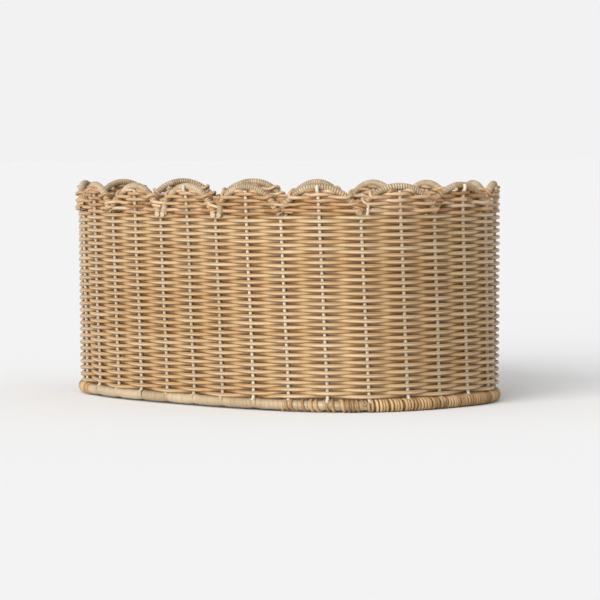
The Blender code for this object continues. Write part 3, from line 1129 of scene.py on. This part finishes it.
for row in range(-row_count, row_count + 1):
    x = row * BASE_PITCH
    end = half_chord(x, HALF_LENGTH - ROW_CLEARANCE, HALF_WIDTH - ROW_CLEARANCE)
    steps = max(2, round(2 * end / BASE_STEP))
    points = []
    for i in range(steps + 1):
        y = end * (2 * i / steps - 1)
        wave = math.cos(math.pi * (y / stick_spacing + row))
        points.append(Vector((x, y, STICK_HEIGHT + BASE_DEPTH * wave)))
    row_paths.append(points)
base_rows = paths_object("base_rows", row_paths)
grow(
    base_rows,
    cane,
    closed=False,
    thickness=BASE_PITCH - 0.1 * MM,
    flatness=0.93,
    step=4.5 * MM,
    waviness=0.4 * MM,
    sides=6,
    length_cut=2.0,
    seed=13,
    material=lit_core,
)
settle(base_rows, "round_core", "base_weave")


# ---------------------------------------------------------------------------------------------
# Stage: a pale floor, a low soft light from the left and a pale room all round.

FLOOR_RADIUS = 60.0
FLOOR_SIDES = 48
WALL_TOP = 0.12  # where the walls begin to dim, as the height of a direction of length 1
CEILING_EDGE = 0.45  # and where the ceiling begins
CEILING = 0.72  # how bright the ceiling is, against the walls
floor_turns = [2 * math.pi * side / FLOOR_SIDES for side in range(FLOOR_SIDES)]
floor_edge = [(FLOOR_RADIUS * math.cos(turn), FLOOR_RADIUS * math.sin(turn), 0) for turn in floor_turns]
floor_mesh = bpy.data.meshes.new("studio_floor")
floor_mesh.from_pydata(floor_edge, [], [range(FLOOR_SIDES)])
floor = bpy.data.objects.new("studio_floor", floor_mesh)
bpy.context.scene.collection.objects.link(floor)
# Painted board: matt, with no gloss at all.
board = bpy.data.materials.new("matt_painted_board")
board.use_nodes = True
paint = board.node_tree.nodes["Principled BSDF"].inputs
paint["Base Color"].default_value = linear("#E9E9E9")
paint["Roughness"].default_value = 1.0
paint["Specular IOR Level"].default_value = 0.0
floor_mesh.materials.append(board)

# A pale room whose walls are bright and whose ceiling is dimmer.
world = bpy.data.worlds.new("studio")
world.use_nodes = True
room = world.node_tree
facing = add_node(room, "ShaderNodeTexCoord").outputs["Generated"]
upward = add_node(room, "ShaderNodeSeparateXYZ", [facing]).outputs["Z"]
dimmer = add_node(
    room,
    "ShaderNodeMapRange",
    {"Value": upward, "From Min": WALL_TOP, "From Max": CEILING_EDGE, "To Min": 1.0, "To Max": CEILING},
)
room.nodes["Background"].inputs["Color"].default_value = linear("#F2F2F2")
room.links.new(dimmer.outputs[0], room.nodes["Background"].inputs["Strength"])
bpy.context.scene.world = world

VIEW_TURN = 0.81  # radians round from looking along +Y
VIEW_DOWN = 0.049  # and down from level
VIEW_ROLL = 0.006
VIEW_DISTANCE = 2.862
VIEW_ASIDE = 0.0146
VIEW_HEIGHT = 0.2294
key = bpy.data.lights.new("key", "SUN")
key.energy = 4.6
key.angle = 0.9
key_object = bpy.data.objects.new("key", key)
across = Vector((math.cos(VIEW_TURN), math.sin(VIEW_TURN), 0))
away = Vector((-math.sin(VIEW_TURN), math.cos(VIEW_TURN), 0))
shines = across * 0.49 + away * 0.81 - Vector((0, 0, 0.29))
key_object.rotation_euler = shines.to_track_quat("-Z", "Y").to_euler()
bpy.context.scene.collection.objects.link(key_object)

camera_data = bpy.data.cameras.new("camera")
camera_data.lens = 184.5
camera_data.clip_end = 200
camera = bpy.data.objects.new("camera", camera_data)
camera.location = across * VIEW_ASIDE - away * VIEW_DISTANCE + Vector((0, 0, VIEW_HEIGHT))
aimed = Euler((math.pi / 2 - VIEW_DOWN, 0, VIEW_TURN)).to_matrix()
camera.rotation_euler = (aimed @ Euler((0, 0, -VIEW_ROLL)).to_matrix()).to_euler()
bpy.context.scene.collection.objects.link(camera)
bpy.context.scene.camera = camera
bpy.context.scene.view_settings.view_transform = "Standard"
